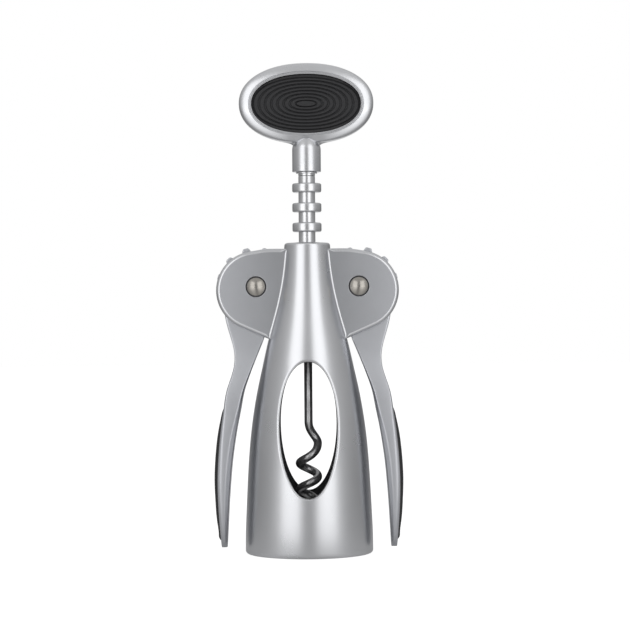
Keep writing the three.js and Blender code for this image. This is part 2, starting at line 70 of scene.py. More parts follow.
def rounded(corners, radii, steps=5):
    # each corner of the loop becomes a parabola between the points that lie its radius away on both sides
    corners = np.asarray(corners, float)
    radii = np.broadcast_to(np.asarray(radii, float), corners.shape[:-1])[..., None]
    before = np.roll(corners, 1, axis=-2) - corners
    after = np.roll(corners, -1, axis=-2) - corners
    lengths = [np.linalg.norm(side, axis=-1, keepdims=True) + tiny for side in (before, after)]
    reach = np.minimum(radii, 0.49 * np.minimum(*lengths))  # two corners never meet on the side between them
    start = (corners + before / lengths[0] * reach)[..., None, :]
    end = (corners + after / lengths[1] * reach)[..., None, :]
    t = np.linspace(0, 1, steps)[:, None]
    curve = start * (1 - t) ** 2 + corners[..., None, :] * 2 * t * (1 - t) + end * t ** 2
    return curve.reshape(*corners.shape[:-2], -1, corners.shape[-1])


def runAlong(line):
    # the length of the line from its start to each of its points
    return np.concatenate([[0], np.cumsum(np.linalg.norm(np.diff(line, axis=0), axis=1))])


def smoothLine(points, steps, scale=1):
    # a smooth curve through the points, cut into steps of equal length, as measured after the scale
    run = runAlong(np.array(points) * scale)
    return smoothThrough(run, points, np.linspace(0, run[-1], steps))


def smoothTable(table, at):
    # the columns of a table whose first one is the place, read smoothly at other places
    table = np.array(table)
    return smoothThrough(table[:, 0], table[:, 1:], at).T


def evenly(loop, steps):
    # the same closed line, cut into steps of equal length
    closed = np.concatenate([loop, loop[:1]])
    run = runAlong(closed)
    at = np.linspace(0, run[-1], steps, endpoint=False)
    return joined(*[np.interp(at, run, column) for column in closed.T])


def joined(*coordinates):
    # arrays of x, y and z, each spread over the grid that they share, as one array of points
    return np.stack(np.broadcast_arrays(*coordinates), axis=-1)


def unit(vectors):
    return vectors / np.linalg.norm(vectors, axis=-1, keepdims=True)


def leg(longest, side):
    # the third side of a right-angled triangle: the root of the difference of the squares
    return np.sqrt(longest ** 2 - side ** 2)


def fullTurn(steps):
    return np.linspace(0, 2 * np.pi, steps, endpoint=False)


def turned(profile, steps):
    # each profile point (radius, height) goes round Z: (radius cos a, radius sin a, height)
    radius, height = np.asarray(profile, float).T[..., None]
    angle = fullTurn(steps)
    return joined(radius * np.cos(angle), radius * np.sin(angle), height)


def arcPoints(centre, radius, start, end, steps):
    # centre plus radius times (cos a, sin a), with a in degrees from start to end
    angle = np.radians(np.linspace(start, end, steps))
    return np.asarray(centre, float) + radius * joined(np.cos(angle), np.sin(angle))


def quarterRound(radius):
    # a rounded edge, from its side to its top: radius times (1 - sin a) in and (1 - cos a) up
    angle = np.linspace(0, np.pi / 2, 5)
    return radius * joined(1 - np.sin(angle), 1 - np.cos(angle))


def oval(halfWidth, halfHeight, fullness, angle):
    # |x / half width| and |z / half height| to the power of the fullness add up to 1
    x, z = [np.sign(share) * np.abs(share) ** (2 / fullness) for share in (np.cos(angle), np.sin(angle))]
    return halfWidth * x, halfHeight * z


def capped(rings):
    # the first and the last ring are closed by a fan to their middle
    ends = [np.broadcast_to(ring.mean(axis=0), ring.shape) for ring in (rings[0], rings[-1])]
    return np.concatenate([ends[0][None], rings, ends[1][None]])


def grid(points, finish=0, ring=False, loop=False):
    # a ring joins the last column to the first, and a loop the last row to the first
    return {"points": np.asarray(points, float), "finish": finish, "ring": ring, "loop": loop}


def flipped(part, x, y=1):
    # the grid, mirrored on each axis whose factor is -1
    return {**part, "points": part["points"] * np.array([x, y, 1])}


def inEachCorner(part):
    return [flipped(part, side, way) for side in (-1, 1) for way in (-1, 1)]


def newObject(name, data):
    made = bpy.data.objects.new(name, data)
    bpy.context.scene.collection.objects.link(made)
    return made


def makePiece(name, grids, body, nodes, finishes, crease=35):
    # each grid becomes quads in its finish; shared points are welded, faces turned outwards, and edges that
    # bend by more than the crease in degrees stay sharp
    corners, quads, finishOf, start = [], [], [], 0
    for part in grids:
        rows, columns = part["points"].shape[:2]
        index = start + np.arange(rows * columns).reshape(rows, columns)
        index = np.pad(index, ((0, int(part["loop"])), (0, int(part["ring"]))), mode="wrap")
        faces = joined(index[:-1, :-1], index[:-1, 1:], index[1:, 1:], index[1:, :-1])
        corners.append(part["points"].reshape(-1, 3) * mm)
        quads.append(faces.reshape(-1, 4))
        finishOf.append(np.full(len(quads[-1]), part["finish"]))
        start += rows * columns
    mesh = bpy.data.meshes.new(name)
    mesh.from_pydata(np.concatenate(corners).tolist(), [], np.concatenate(quads).tolist())
    for finish in finishes:
        mesh.materials.append(finish)
    mesh.polygons.foreach_set("material_index", np.concatenate(finishOf).astype(np.int32))
    work = bmesh.new()
    work.from_mesh(mesh)
    bmesh.ops.remove_doubles(work, verts=work.verts, dist=tiny)
    bmesh.ops.dissolve_degenerate(work, edges=work.edges, dist=tiny / 10)
    bmesh.ops.recalc_face_normals(work, faces=work.faces)
    openEdges = sum(1 for edge in work.edges if not edge.is_manifold)
    work.to_mesh(mesh)
    work.free()
    mesh.shade_smooth()
    mesh.set_sharp_from_angle(angle=np.radians(crease))
    piece = newObject(name, mesh)
    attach(piece, body)
    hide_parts(*nodes)
    print("made", name, "faces", len(mesh.polygons), "open edges", openEdges)


# finishes

def operatorFor(operation, swapped=False):
    def apply(self, other):
        first, second = (other, self) if swapped else (self, other)
        return self.finish.maths(operation, first, second)
    return apply


class Signal:
    # a socket of a finish, or a sum, difference or product of sockets and numbers
    def __init__(self, finish, socket):
        self.finish, self.socket = finish, socket

    __add__, __radd__ = operatorFor("ADD"), operatorFor("ADD", True)
    __sub__, __rsub__ = operatorFor("SUBTRACT"), operatorFor("SUBTRACT", True)
    __mul__, __rmul__ = operatorFor("MULTIPLY"), operatorFor("MULTIPLY", True)

    def sibling(self, output):
        # another output of the same node
        return Signal(self.finish, self.socket.node.outputs[output])


class Finish:
    # the nodes of a material or of the world
    def __init__(self, owner):
        owner.use_nodes = True
        self.owner, self.tree = owner, owner.node_tree
        self.tree.nodes.clear()

    def node(self, kind, settings=None, inputs=None, output=0):
        made = self.tree.nodes.new(kind)
        for key, value in (settings or {}).items():
            if key == "stops":
                ramp = made.color_ramp.elements
                for place, tone in value[1:-1]:
                    ramp.new(place)
                for stop, (place, tone) in zip(ramp, value):
                    stop.position, stop.color = place, (tone, tone, tone, 1)
            else:
                setattr(made, key, value)
        for key, value in (inputs or {}).items():
            if isinstance(value, Signal):
                self.tree.links.new(value.socket, made.inputs[key])
            else:
                made.inputs[key].default_value = value
        return Signal(self, made.outputs[output]) if made.outputs else None

    def maths(self, operation, first, second):
        return self.node("ShaderNodeMath", {"operation": operation}, {0: first, 1: second})

    def place(self):
        return self.node("ShaderNodeTexCoord", output="Object")

    def stretched(self, scale):
        return self.node("ShaderNodeMapping", inputs={"Vector": self.place(), "Scale": scale})

    def noise(self, scale, detail=3, rough=0.5, vector=None):
        return self.node("ShaderNodeTexNoise", {"noise_dimensions": "3D"}, {
            "Vector": vector or self.place(), "Scale": scale, "Detail": detail, "Roughness": rough})

    def colours(self, share, first, second):
        # this node's sockets share their names, so they go by number
        sockets = {0: share, 6: (*first, 1), 7: (*second, 1)}
        return self.node("ShaderNodeMix", {"data_type": "RGBA"}, sockets, 2)

    def surface(self, style, tone, wear, relief, more=None):
        # the colour goes from dark to light with the tone, the roughness grows with the wear, and the relief
        # is a bump
        shader = self.node("ShaderNodeBsdfPrincipled", inputs={
            "Base Color": self.colours(tone, style["dark"], style["light"]),
            "Roughness": style["rough"] + style["spread"] * wear,
            "Normal": self.node("ShaderNodeBump", inputs={"Height": relief, "Distance": style["depth"]}),
            **(more or {}),
        })
        self.node("ShaderNodeOutputMaterial", inputs={"Surface": shader})
        return self.owner


def newFinish(name):
    return Finish(bpy.data.materials.new(name))


castings = {
    "satin": {"light": (0.655, 0.662, 0.68), "dark": (0.61, 0.617, 0.637), "rough": 0.28, "spread": 0.05,
              "cloud": 90, "grain": 2600, "grainShare": 0.12, "depth": 0.0000004},
    "matte": {"light": (0.545, 0.555, 0.583), "dark": (0.49, 0.5, 0.527), "rough": 0.38, "spread": 0.08,
              "cloud": 90, "grain": 2200, "grainShare": 0.3, "depth": 0.000004},
    # the ear's dark colour is painted shade for its corner beside the bell
    "ear": {"light": (0.575, 0.586, 0.615), "dark": (0.365, 0.372, 0.39), "rough": 0.36, "spread": 0.03,
            "cloud": 90, "grain": 2200, "grainShare": 0.3, "depth": 0.000004, "paintedShade": 0.65,
            "paintedShadeFrom": 0.011, "paintedShadeTo": 0.034},
    # painted shade: a darker casting for the bell's hollow and the recess round each rivet
    "inside": {"light": (0.16, 0.16, 0.165), "dark": (0.12, 0.12, 0.125), "rough": 0.6, "spread": 0.1,
               "cloud": 90, "grain": 1500, "grainShare": 0.4, "depth": 0.00005},
}


def casting(name):
    # shade and roughness follow a mix of two noises, one of cloud size and one of grain size; an ear also
    # gets painted shade, darker in its corner beside the bell and lighter with its distance from the middle
    style = castings[name]
    finish = newFinish(name + "Casting")
    cloud = finish.noise(style["cloud"], detail=2)
    grain = finish.noise(style["grain"], detail=2, rough=0.6)
    tone = cloud + style["grainShare"] * (grain - cloud)
    # painted shade: the tone is pulled dark in the ear's corner beside the bell and light further out
    if "paintedShade" in style:
        split = finish.node("ShaderNodeSeparateXYZ", None, {0: finish.place()}, "X")
        outOfShade = finish.node("ShaderNodeMapRange", None, {
            "Value": finish.maths("ABSOLUTE", split, 0), "From Min": style["paintedShadeFrom"],
            "From Max": style["paintedShadeTo"]})
        tone = tone + style["paintedShade"] * (outOfShade - tone)
    return finish.surface(style, tone, tone - 0.5, grain, {"Metallic": 1})


turnings = {
    "bright": {"light": (0.67, 0.675, 0.69), "dark": (0.6, 0.605, 0.62), "rough": 0.24, "spread": 0.05,
               "cloud": 260, "pitch": 5200, "stretch": 0.02, "depth": 0.0000008},
    "nickel": {"light": (0.42, 0.4, 0.37), "dark": (0.32, 0.303, 0.278), "rough": 0.23, "spread": 0.05,
               "cloud": 260, "pitch": 3600, "stretch": 0.02, "depth": 0.000002},
}


def turning(name):
    # fine rings of the tool along the height, over a cloud of polish
    style = turnings[name]
    finish = newFinish(name + "Turning")
    along = finish.stretched((style["stretch"], style["stretch"], 1))
    rings = finish.noise(style["pitch"], detail=2, vector=along)
    cloud = finish.noise(style["cloud"])
    return finish.surface(style, 0.5 * rings + 0.5 * cloud, cloud - 0.5, rings, {"Metallic": 1})


coatedWire = {
    "light": (0.8, 0.8, 0.81), "dark": (0.4, 0.4, 0.405), "edge": (0.4, 0.4, 0.4, 1), "metallic": 0.88,
    "rough": 0.26, "spread": 0.1, "streak": 420, "stretch": 0.25, "wornFrom": 0.45, "wornTo": 0.75,
    "pits": 2400, "depth": 0.00002,
}


def wireFinish():
    # dark coat that is worn thin in streaks, with fine pits
    finish = newFinish("coatedWire")
    along = finish.stretched((1, 1, coatedWire["stretch"]))
    streak = finish.noise(coatedWire["streak"], detail=4, rough=0.6, vector=along)
    pits = finish.noise(coatedWire["pits"], detail=2)
    worn = finish.node("ShaderNodeMapRange", None, {
        "Value": streak, "From Min": coatedWire["wornFrom"], "From Max": coatedWire["wornTo"]})
    return finish.surface(coatedWire, worn, streak, pits, {
        "Metallic": coatedWire["metallic"], "Specular Tint": coatedWire["edge"]})


softBlack = {"light": (0.02, 0.02, 0.0225), "dark": (0.011, 0.011, 0.0125), "rough": 0.5, "spread": 0.2,
             "grain": 3000, "cloud": 120, "depth": 0.00003}


def rubberFinish():
    # soft black with a fine moulded grain and faint dust
    finish = newFinish("softBlack")
    grain = finish.noise(softBlack["grain"], detail=2, rough=0.6)
    cloud = finish.noise(softBlack["cloud"])
    return finish.surface(softBlack, 0.5 * grain + 0.5 * cloud, cloud, grain)


mouldedBlack = {"light": (0.022, 0.022, 0.023), "dark": (0.012, 0.012, 0.013), "rough": 0.35, "spread": 0.15,
                "flow": 300, "stretch": 0.3, "depth": 0.00004}


def plasticFinish():
    # moulded black with shallow flow marks
    finish = newFinish("mouldedBlack")
    flow = finish.noise(mouldedBlack["flow"], vector=finish.stretched((1, 1, mouldedBlack["stretch"])))
    return finish.surface(mouldedBlack, flow, flow, flow)


satinFinish, matteFinish, earFinish, shadedInsideFinish = [casting(name) for name in castings]
brightFinish, nickelFinish = turning("bright"), turning("nickel")
darkWire, blackRubber, blackPlastic = wireFinish(), rubberFinish(), plasticFinish()
print("finishes ready")


# bell

pin = {"x": 19.688, "z": 102.06}
pinPoint = np.array([pin["x"], pin["z"]])


def pinCircle(radius, outline):
    # the circle's points that lie between the pin and each point of the outline
    return pinPoint + radius * unit(outline - pinPoint)


def atDepth(flat, y):
    return joined(flat[..., 0], y, flat[..., 1])


bell = {
    "height": 118.8, "radius": 24.45, "neckRadius": 8.3, "crownRadius": 8.8, "wall": 2.2,
    "footRounding": 1.2, "topRounding": 1.1, "bore": 5.8, "throatFloor": 88.8, "throatFlare": 8,
    "windowBottom": 22.25, "windowTop": 73.4, "windowWaist": 49, "windowHalf": 10.9,
    "topFullness": 2.1, "bottomFullness": 2, "lipWidth": 1.3, "lipDepth": 0.9, "lipPower": 2.5,
    "lipLeast": 0.5, "lipGrowth": 1.2, "slotHalf": 2.55, "slotReach": 16.2,
    "windowSteps": 97, "panelSteps": 30, "stripSteps": 9, "lipSteps": 16, "wallRows": [0.35, 0.7, 1],
    "profile": [
        (0.04, 1), (0.143, 0.972), (0.259, 0.929), (0.376, 0.861), (0.454, 0.786), (0.531, 0.684),
        (0.609, 0.557), (0.686, 0.427), (0.777, 0.254), (0.878, 0.109), (0.977, 0.037),
    ],
}


def bellRadius(height):
    # a smooth curve through the rows of the profile, as share of the height and of the radius over the neck
    rise, spread = np.array(bell["profile"]).T
    knots = [bell["footRounding"], *(rise * bell["height"]), bell["height"] - bell["topRounding"]]
    radii = bell["neckRadius"] + (bell["radius"] - bell["neckRadius"]) * spread
    values = [bell["radius"], *radii, bell["crownRadius"]]
    return smoothThrough(knots, values, height)[:, 0]


def hollowRadius(height):
    # the wall's thickness inside the bell, closed by a cone on the bore
    base = bell["throatFloor"] - bell["throatFlare"]
    wide = bellRadius(np.array([base]))[0] - bell["wall"]
    cone = np.interp(height, [base, bell["throatFloor"]], [wide, bell["bore"]])
    return np.where(height < base, bellRadius(height) - bell["wall"], cone)


def windowEdge(grow):
    # half of an oval that is fuller above its waist than below, moved out along its normal by grow
    angle = np.linspace(-np.pi / 2, np.pi / 2, bell["windowSteps"])
    upper, waist = angle >= 0, bell["windowWaist"]
    fullness = np.where(upper, bell["topFullness"], bell["bottomFullness"])
    half = np.where(upper, bell["windowTop"] - waist, waist - bell["windowBottom"])
    x, z = oval(bell["windowHalf"], half, fullness, angle)
    x = np.maximum(x, 0)
    out = (x / bell["windowHalf"]) ** (fullness - 1) / bell["windowHalf"]
    up = np.sign(z) * (np.abs(z) / half) ** (fullness - 1) / half
    grow = grow * lipShare(angle) / np.hypot(out, up)
    edge = x + grow * out
    edge[[0, -1]] = 0
    return edge, waist + z + grow * up


def lipShare(angle):
    # the lip has its least share at the bottom of the window and grows to the whole over a turn in radians
    least = bell["lipLeast"]
    return np.clip(least + (1 - least) * (angle + np.pi / 2) / bell["lipGrowth"], least, 1)


def slotWayIn(height):
    # how far from the axis the circle of the toothed head reaches at a height
    rise = np.minimum(np.abs(height - pin["z"]), bell["slotReach"])
    return pin["x"] - leg(bell["slotReach"], rise)


def slotRows():
    # heights of the slot's lower floor, of the stretch that is open to the bore, and of its upper floor
    reach = bell["slotReach"]
    rise = leg(reach, pin["x"] - leg(bell["bore"], bell["slotHalf"]))
    heights = np.linspace(pin["z"] - reach, pin["z"] + reach, 2001)
    cut = heights[slotWayIn(heights) < leg(bellRadius(heights), bell["slotHalf"])]
    low, high = pin["z"] - rise, pin["z"] + rise
    return np.linspace(cut[0], low, 9), np.linspace(low, high, 13)[1:-1], np.linspace(high, cut[-1], 6)


def slotWall(lowFloor, between, highFloor):
    # flat, from the head's circle or the bore out to the bell's outside
    heights = np.concatenate([lowFloor, between, highFloor])
    outside = leg(bellRadius(heights), bell["slotHalf"])
    inBore = (heights >= lowFloor[-1]) & (heights <= highFloor[0])
    inside = np.where(inBore, leg(bell["bore"], bell["slotHalf"]), slotWayIn(heights))
    inside[[0, -1]] = outside[[0, -1]]
    x = inside[:, None] + (outside - inside)[:, None] * np.linspace(0, 1, 4)
    return joined(x, -bell["slotHalf"], heights[:, None])


def slotFloor(heights):
    # from the bell's outside along the head's circle to the bore, and across it bent to meet both
    y = np.linspace(-bell["slotHalf"], bell["slotHalf"], bell["stripSteps"])
    edge, bore = leg(bellRadius(heights[:1])[0], y), leg(bell["bore"], y)
    share = ((heights - heights[0]) / (heights[-1] - heights[0]))[:, None]
    x = slotWayIn(heights)[:, None] + (1 - share) * (edge - edge[0]) + share * (bore - bore[0])
    x[0], x[-1] = edge, bore
    return joined(x, y, heights[:, None])


def windowLip():
    # the lip rolls ever faster into the window's wall, which runs straight in to the hollow
    size = lipShare(np.linspace(-np.pi / 2, np.pi / 2, bell["windowSteps"]))
    lip = []
    for step in np.sin(np.linspace(0, np.pi / 2, bell["lipSteps"])):
        x, z = windowEdge(bell["lipWidth"] * (1 - step))
        sink = bell["lipDepth"] * size * (1 - np.sqrt(1 - step ** bell["lipPower"]))
        lip.append(joined(x, sink - leg(bellRadius(z), x), z))
    x, z = windowEdge(0)
    inner = joined(x, -leg(hollowRadius(z), x), z)
    return np.array(lip + [lip[-1] + (inner - lip[-1]) * share for share in bell["wallRows"]])


def bellRows(lowFloor, between, highFloor):
    # stretches of rows (radius, height, start) up the outside, over the crown, down the bore and the hollow
    # and back over the foot; where a start isn't 0, the window is between it and the middle
    crownAt, footAt = bell["topRounding"], bell["footRounding"]
    crown = arcPoints((bell["crownRadius"] - crownAt, bell["height"] - crownAt), crownAt, 0, 90, 9)[1:]
    foot = arcPoints((bell["radius"] - footAt, footAt), footAt, -90, 0, 9)[:-1]
    outerX, outerZ = windowEdge(bell["lipWidth"])
    innerX, innerZ = windowEdge(0)

    def outer(height, start=0):
        return joined(bellRadius(height), height, start)

    def bore(height):
        return joined(bell["bore"], height, 0)

    def hollow(height, start=0):
        return joined(hollowRadius(height), height, start)

    return {
        "below": outer(np.linspace(footAt, outerZ[0], 24)[:-1]),
        "beside": outer(outerZ, outerX),
        "above": outer(np.linspace(outerZ[-1], lowFloor[0], 18)[1:-1]),
        "slot": outer(np.concatenate([lowFloor, between, highFloor])),
        "top": outer(np.linspace(highFloor[-1], bell["height"] - crownAt, 10)[1:]),
        "crown": joined(*crown.T, 0),
        "upperBore": bore(np.linspace(bell["height"], highFloor[0], 8)[:-1]),
        "slotBore": bore(np.concatenate([highFloor[:1], between[::-1], lowFloor[-1:]])),
        "throat": bore(np.linspace(lowFloor[-1], bell["throatFloor"], 6)[1:]),
        "cone": hollow(np.linspace(bell["throatFloor"], innerZ[-1], 14)[1:-1]),
        "hollowBeside": hollow(innerZ[::-1], innerX[::-1]),
        "hollowBelow": hollow(np.linspace(innerZ[0], 0, 12)[1:]),
        "foot": joined(*foot.T, 0),
    }


def bellGrids():
    # panels go round from the middle or the window to the slot, and strips across above and below the slot
    slotHalf = bell["slotHalf"]
    slot = slotRows()
    rows = bellRows(*slot)
    first = dict(zip(rows, np.cumsum([0] + [len(stretch) for stretch in rows.values()])))
    radius, height, start = np.concatenate(list(rows.values())).T[..., None]
    near = np.arcsin(np.clip(start / radius, 0, 1))
    far = np.arccos(slotHalf / radius)
    angle = near + (far - near) * np.linspace(0, 1, bell["panelSteps"])
    panel = joined(radius * np.sin(angle), -radius * np.cos(angle), height)
    y = np.linspace(-slotHalf, slotHalf, bell["stripSteps"])
    strip = joined(leg(radius, y), y, height)
    quarter = [
        grid(panel[:first["cone"] + 1]),
        # the hollow gets the inside finish, which is painted shade
        grid(panel[first["cone"]:first["foot"]], 1),
        grid(np.concatenate([panel[first["foot"] - 1:], panel[:1]])),
        grid(slotWall(*slot)),
        grid(windowLip()),
    ]
    half = [
        grid(strip[first["top"] - 1:first["slotBore"] + 1]),
        grid(np.concatenate([strip[first["throat"] - 1:], strip[:first["slot"] + 1]])),
        grid(slotFloor(slot[0])),
        grid(slotFloor(slot[2][::-1])[::-1]),
    ]
    grids = []
    for side in (-1, 1):
        grids += [flipped(part, side, way) for way in (1, -1) for part in quarter]
        grids += [flipped(part, side) for part in half]
    return grids


ear = {
    "radius": 15.1, "rise": -1.4, "reach": 0.2, "topAngle": 84, "lowerSlope": 23.5, "steps": 190,
    "face": 4.25, "inner": 2.56, "backRounding": 0.25, "cornerRounding": 1.6, "lowOut": 0.1,
    "hole": 2.4, "recess": 3.95, "recessDepth": 0.8, "recessRounding": 0.2,
    "bevelEnd": -0.3, "bevelFade": 2.6, "bevelLeast": 0.08, "faceRows": [0.02, 0.2, 0.45, 0.7, 0.9, 0.985, 1],
    "top": [(16.9, 116.42), (15, 116.58), (12, 116.6)],
    "root": [(12.9, 81.5), (11.4, 83.6), (9.2, 88.2), (7.4, 92), (6.2, 98), (6.2, 106), (6.2, 116.5)],
    "bevel": [
        (0, 1.35), (0.08, 1), (0.22, 0.72), (0.4, 0.5), (0.6, 0.33), (0.75, 0.225), (0.87, 0.155),
        (0.97, 0.105), (1.07, 0.066), (1.17, 0.037), (1.27, 0.016), (1.4, 0),
    ],
}


def earOutline():
    # round nose about a point by the pin, flat top, sloping lower edge, and a root inside the bell's wall
    centre = pinPoint + np.array([ear["reach"], ear["rise"]])
    nose = arcPoints(centre, ear["radius"], ear["topAngle"], ear["lowerSlope"] - 90, 110)
    slope = np.tan(np.radians(ear["lowerSlope"]))
    lowX = ear["root"][0][0] + ear["lowOut"]
    low = (lowX, nose[-1, 1] - (nose[-1, 0] - lowX) * slope)
    corners = np.array([*nose[1:-1:4], nose[-1], low, *ear["root"], *ear["top"][::-1]])
    return evenly(rounded(corners, ear["cornerRounding"], 9), ear["steps"])


def outwardNormals(outline):
    # across the line between both neighbours, away from the middle of a clockwise loop
    along = unit(np.roll(outline, -1, axis=0) - np.roll(outline, 1, axis=0))
    return joined(-along[:, 1], along[:, 0])


def earGrids():
    # from the hole's inner end out along the back, over its edge and the bevel, and in along the face to the
    # recess round the rivet
    outline = earOutline()
    face, inner, lip = ear["face"], ear["inner"], ear["recessRounding"]
    floor = face - ear["recessDepth"]
    # the bevel shrinks over the last stretch before the bell's wall, and is nearly nothing inside it
    wall = leg(bellRadius(outline[:, 1]), face)
    shrink = np.clip((outline[:, 0] - wall - ear["bevelEnd"]) / ear["bevelFade"], ear["bevelLeast"], 1)
    normal = outwardNormals(outline) * shrink[:, None]

    def circle(radius, y):
        return atDepth(pinCircle(radius, outline), y)

    def edge(inward, y):
        return atDepth(outline - normal * inward, y)

    back = [edge(inward, inner + rise) for inward, rise in quarterRound(ear["backRounding"])]
    front = [edge(inward, face - drop) for inward, drop in smoothLine(ear["bevel"], 21)]
    mouth = circle(ear["recess"] + lip, face)
    faceRows = [front[-1] + (mouth - front[-1]) * share for share in ear["faceRows"]]
    rim = [circle(ear["recess"] + out, face - drop) for out, drop in quarterRound(lip)[1:]]
    recess = [circle(ear["recess"], floor + lip), circle(ear["recess"] - lip, floor),
              circle(ear["hole"], floor), circle(ear["hole"], inner)]
    start = back[0] + (recess[-1] - back[0]) * ear["faceRows"][0]
    # the recess round the rivet gets the inside finish, which is painted shade
    parts = [([recess[-1], start, *back, front[0]], 2), (front, 0), ([front[-1], *faceRows, *rim], 2),
             ([rim[-1], *recess], 1)]  # each with its finish: ear 2, casting 0, inside 1
    return [part for rows, finish in parts for part in inEachCorner(grid(rows, finish, ring=True))]


fillet = {"size": 1.1, "bottom": 82.4, "top": 115.9, "fadeBottom": 82.3, "fadeTop": 116.1, "fade": 1.6,
          "least": 0.05, "sinkX": 0.6, "sinkY": 0.9}


def filletGrids():
    # a ball of the fillet's size rolled down the corner between the ear's face and the bell, smaller at both
    # ends; the last column lies sunk behind the middle one
    height = np.linspace(fillet["bottom"], fillet["top"], 60)
    toEnd = np.minimum(height - fillet["fadeBottom"], fillet["fadeTop"] - height) / fillet["fade"]
    size = fillet["size"] * np.sqrt(np.clip(toEnd, fillet["least"], 1))
    radius = bellRadius(height)
    centreY = ear["face"] + size
    centreX = leg(radius + size, centreY)
    share = np.linspace(0, 1, 9)[:, None]
    angle = np.pi / 2 + (np.arctan2(centreY, centreX) - np.pi / 2) * share
    x = centreX - size * np.cos(angle)
    y = centreY - size * np.sin(angle)
    x = np.concatenate([x, x[4:5] - fillet["sinkX"]])
    y = np.concatenate([y, y[4:5] - fillet["sinkY"]])
    rings = joined(x, -y, height).transpose(1, 0, 2)
    return inEachCorner(grid(capped(rings), ring=True))


makePiece("bell_casting", bellGrids() + earGrids() + filletGrids(), "housing",
          ["bell_housing"], [satinFinish, shadedInsideFinish, earFinish])


# rivets and guide

rivet = {"radius": 2.1, "head": 3.4, "under": 3.75, "wall": 0.3, "edge": 0.1, "dome": 1.25, "fullness": 1.9,
         "spacing": 0.7}


def rivetProfile():
    # a straight edge, then a dome that falls with a power of the distance from its middle, at both ends
    under, head, edge = rivet["under"], rivet["head"], rivet["edge"]
    out = np.linspace(1, 0, 17) ** rivet["spacing"]  # its rows stand closer by the edge
    dome = joined(head * out, under + rivet["wall"] + rivet["dome"] * (1 - out ** rivet["fullness"]))
    upper = np.concatenate([[(rivet["radius"], under), (head - edge, under), (head, under + edge)], dome])
    return np.concatenate([upper[::-1] * np.array([1, -1]), upper])


for name, side in (("pivot_rivet_left", -1), ("pivot_rivet_right", 1)):
    points = turned(rivetProfile(), 64)[..., [0, 2, 1]] + np.array([side * pin["x"], 0, pin["z"]])
    makePiece(name + "_turned", [grid(points, ring=True)], "housing", [name], [nickelFinish])

guide = {"top": 19.5, "shelf": 17, "bore": 15.63, "outer": 21.3, "hole": 7.2, "recess": 1.2, "leadIn": 2.4,
         "edge": 0.4}


def guideProfile():
    # a wide bore with a slope at its mouth, below a shelf with a hole; every edge is rounded
    bore, low = guide["bore"], guide["recess"]
    corners = [
        (bore, guide["shelf"]), (guide["hole"], guide["shelf"]), (guide["hole"], guide["top"]),
        (guide["outer"], guide["top"]), (guide["outer"], low), (bore + guide["leadIn"], low),
        (bore, low + guide["leadIn"]),
    ]
    return rounded(corners, guide["edge"], 5)


makePiece("bottle_guide_moulded", [grid(turned(guideProfile(), 96), ring=True, loop=True)], "housing",
          ["bottle_guide"], [blackPlastic])


# rack and what holds it

rack = {
    "pitch": 7.565, "rings": 7, "travelPitches": 5, "ringRadius": 5.6, "ringHeight": 3.57,
    "ringRounding": 0.85, "neckRadius": 3.2, "neckRounding": 0.2, "endRounding": 0.25, "bore": 1.8,
    "boreRounding": 0.1, "topLand": 2.8, "footLand": 1.5, "gap": 0.3, "washer": 0.9,
}
topRing = pin["z"] + rack["travelPitches"] * rack["pitch"]
sleeveTop = topRing + rack["ringHeight"] / 2 + rack["topLand"]
sleeveBottom = topRing - (rack["rings"] - 1) * rack["pitch"] - rack["ringHeight"] / 2 - rack["footLand"]
collarBottom = sleeveTop + rack["washer"] + 2 * rack["gap"]


def rackProfile():
    # a neck with rings whose corners are rounded, one pitch apart
    corners = [(rack["bore"], sleeveBottom), (rack["neckRadius"], sleeveBottom)]
    radii = [rack["boreRounding"], rack["endRounding"]]
    for ring in range(rack["rings"] - 1, -1, -1):
        low = topRing - ring * rack["pitch"] - rack["ringHeight"] / 2
        high = low + rack["ringHeight"]
        corners += [(rack["neckRadius"], low), (rack["ringRadius"], low), (rack["ringRadius"], high),
                    (rack["neckRadius"], high)]
        radii += [rack["neckRounding"], rack["ringRounding"], rack["ringRounding"], rack["neckRounding"]]
    corners += [(rack["neckRadius"], sleeveTop), (rack["bore"], sleeveTop)]
    return rounded(corners, radii + [rack["endRounding"], rack["boreRounding"]], 7)


makePiece("ringed_rack", [grid(turned(rackProfile(), 72), ring=True, loop=True)], "rack",
          ["rack_sleeve"], [brightFinish])

washer = {
    "radius": 4.05, "thickness": 0.55, "bossRadius": 3.2, "play": 0.06, "hole": 1.8, "rounding": 0.1,
    "rimRounding": 0.15, "lowRadius": 3.0, "lowThickness": 0.9, "lowDisc": 0.63, "lowBossRadius": 2.8,
    "lowGap": 0.3,
}
lowWasherTop = sleeveBottom - washer["lowGap"]
lowWasherBottom = lowWasherTop - washer["lowThickness"]


def washerProfile(radius, thickness, bossRadius, bottom, top):
    # a flat disc over a boss that ends in the bottom plane
    corners = [(washer["hole"], bottom), (bossRadius, bottom), (bossRadius, top - thickness),
               (radius, top - thickness), (radius, top), (washer["hole"], top)]
    small, rim = washer["rounding"], washer["rimRounding"]
    return rounded(corners, [small, small, small, rim, rim, small], 5)


washers = [
    ("thrust_washer", washerProfile(washer["radius"], washer["thickness"], washer["bossRadius"],
                                    sleeveTop + washer["play"], collarBottom - washer["play"])),
    ("retaining_washer", washerProfile(washer["lowRadius"], washer["lowDisc"], washer["lowBossRadius"],
                                       lowWasherBottom, lowWasherTop)),
]
for name, profile in washers:
    makePiece(name + "_turned", [grid(turned(profile, 64), ring=True, loop=True)], "handle",
              [name], [brightFinish])

clip = {"gap": 0.15, "thickness": 0.8, "radius": 2.6, "hole": 1.2, "mouth": 70, "rounding": 0.15}


